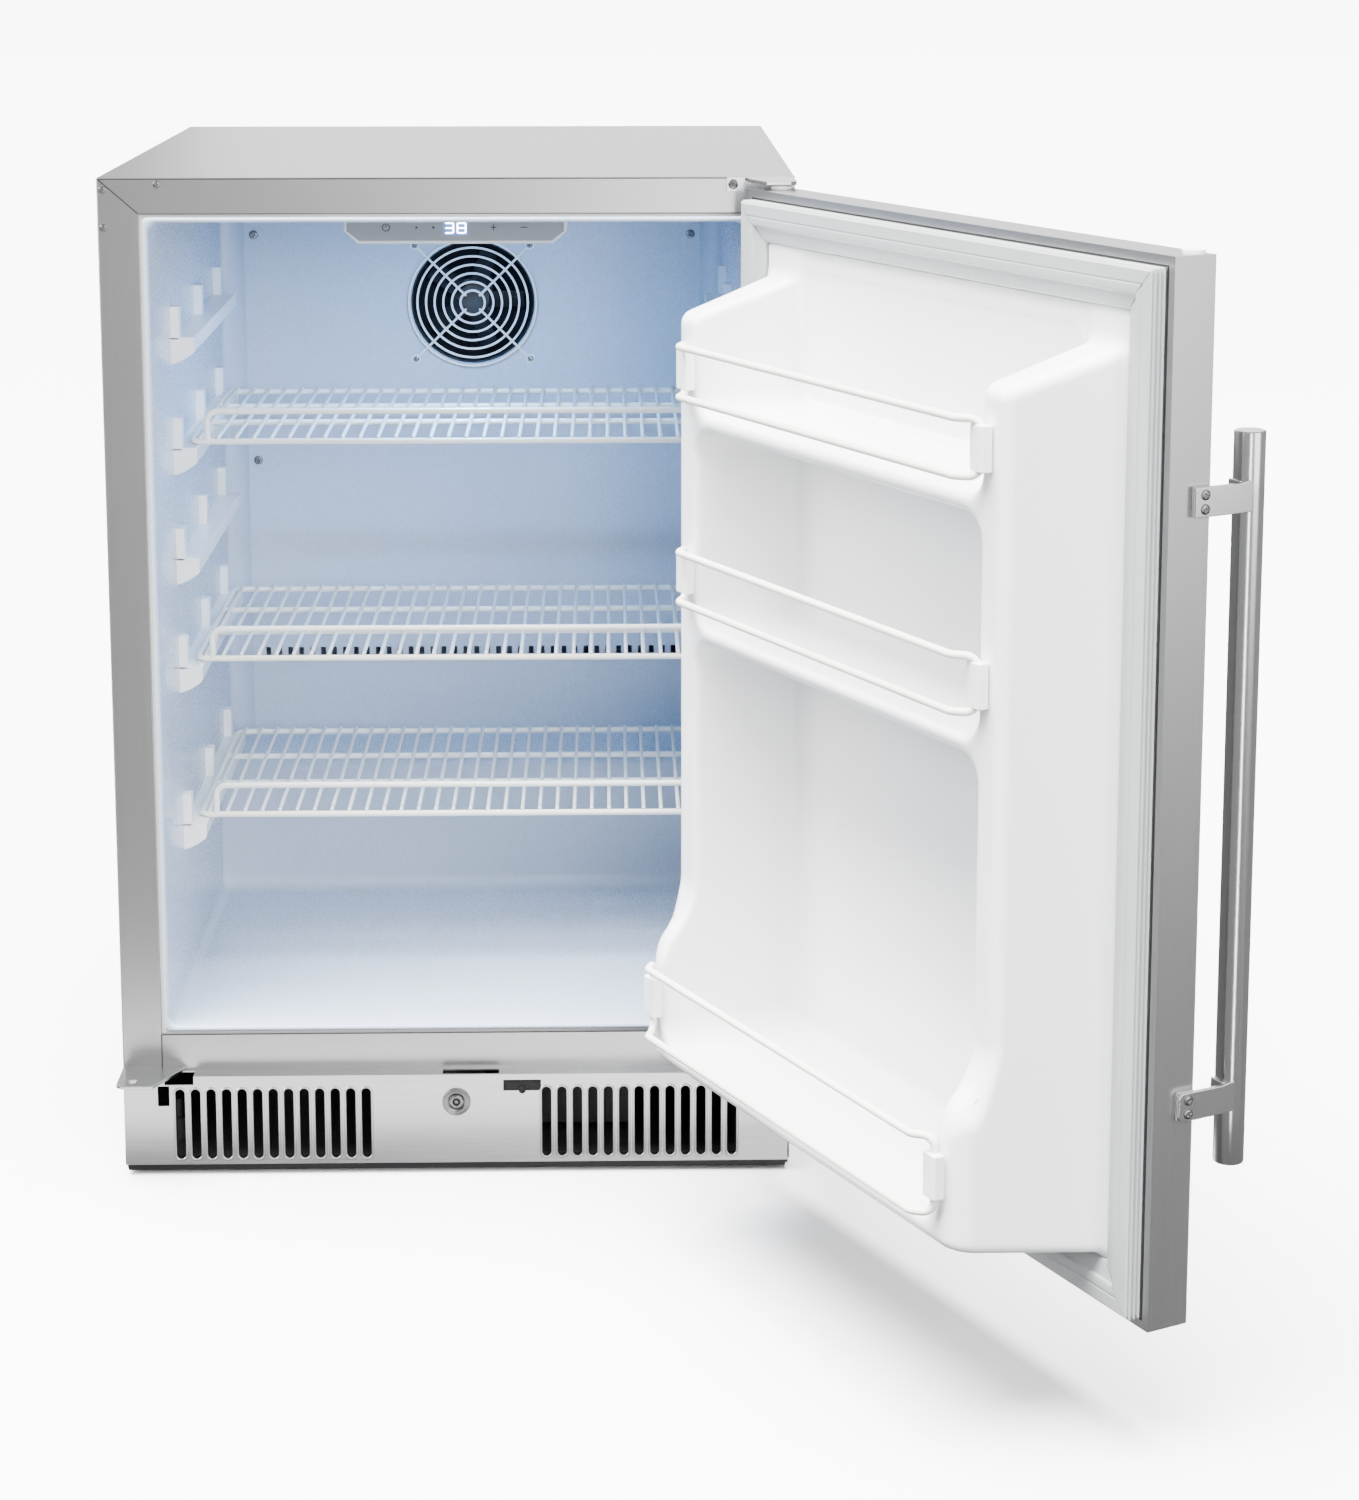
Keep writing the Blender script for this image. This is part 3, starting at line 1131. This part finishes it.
def studio_world():
    """White to the camera, dim and bluish to diffuse light, and a soft gradient in reflections."""
    world = bpy.data.worlds.new("studio")
    bpy.context.scene.world = world
    world.use_nodes = True
    tree = world.node_tree
    around = tree.nodes["Background"]
    coords, split = tree.nodes.new("ShaderNodeTexCoord"), tree.nodes.new("ShaderNodeSeparateXYZ")
    tree.links.new(coords.outputs["Generated"], split.inputs["Vector"])
    height = ramp(tree, split.outputs["Z"], 0.0, 1.0, -1.0, 1.0)
    bands = tree.nodes.new("ShaderNodeValToRGB")
    tree.links.new(height, bands.inputs["Fac"])
    stops = [(0.0, 0.14), (0.34, 0.24), (0.46, 0.40), (0.56, 0.34), (0.72, 0.50), (1.0, 0.8)]
    while len(bands.color_ramp.elements) < len(stops):
        bands.color_ramp.elements.new(0.5)
    for element, (at, level) in zip(bands.color_ramp.elements, stops):
        element.position, element.color = at, (level * 0.98, level * 0.99, level, 1)
    tree.links.new(bands.outputs["Color"], around.inputs["Color"])
    around.inputs["Strength"].default_value = 1.5
    path, result = tree.nodes.new("ShaderNodeLightPath"), around.outputs["Background"]
    rays = (("Is Diffuse Ray", (0.88, 0.94, 1.0), 0.26), ("Is Camera Ray", (1, 1, 1), 9.0))
    for ray, color, strength in rays:
        even, mix = tree.nodes.new("ShaderNodeBackground"), tree.nodes.new("ShaderNodeMixShader")
        even.inputs["Color"].default_value, even.inputs["Strength"].default_value = (*color, 1), strength
        tree.links.new(path.outputs[ray], mix.inputs["Fac"])
        tree.links.new(result, mix.inputs[1])
        tree.links.new(even.outputs["Background"], mix.inputs[2])
        result = mix.outputs["Shader"]
    tree.links.new(result, tree.nodes["World Output"].inputs["Surface"])


studio_world()
emitter("key", (-3.9, -1.7, 2.6), (0.4, -0.6, 0.5), (2.6, 2.6), 300)
emitter("front", (1.3, -4.0, 1.9), (0.3, -0.5, 0.5), (2.4, 2.4), 300).visible_glossy = False
emitter("fill", (3.0, -3.2, 1.5), (0.2, -0.4, 0.5), (2.6, 3.2), 110).visible_diffuse = False
emitter("strip", (0.55, -4.0, 0.6), (0.5, -0.8, 0.5), (0.35, 4.0), 60).visible_diffuse = False
emitter("rear", (0.6, 3.6, 2.2), (0, 0.2, 0.4), (3.0, 2.4), 55)
sun = bpy.data.objects.new("overhead", bpy.data.lights.new("overhead", "SUN"))
sun.data.energy, sun.data.angle = 36.0, math.radians(50)
sun.rotation_euler = (math.radians(6), math.radians(-10), 0)
sun.visible_glossy = False
bpy.context.scene.collection.objects.link(sun)
lens_low, lens_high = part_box("led_lens")
lens_mid = (lens_low + lens_high) / 2
emitter("cavity_led", (lens_mid.x, lens_mid.y, lens_low.z - 0.002), (lens_mid.x, lens_mid.y + 0.05, 0.4),
        (0.05, 0.02), 3.0, (0.22, 0.50, 1.0))

camera_data = bpy.data.cameras.new("camera")
camera = bpy.data.objects.new("camera", camera_data)
bpy.context.scene.collection.objects.link(camera)
PITCH, YAW, FRAME_MM = 0.1703, 0.0218, 36.0
camera.location = (0.1357, -2.9699, 1.0929)
camera.rotation_euler = (math.pi / 2 - PITCH, 0, -YAW)
camera_data.sensor_width, camera_data.lens = FRAME_MM, 76.92
camera_data.shift_x, camera_data.shift_y = 0.0, -0.20
camera_data.clip_start, camera_data.clip_end = 0.05, 80
bpy.context.scene.camera = camera
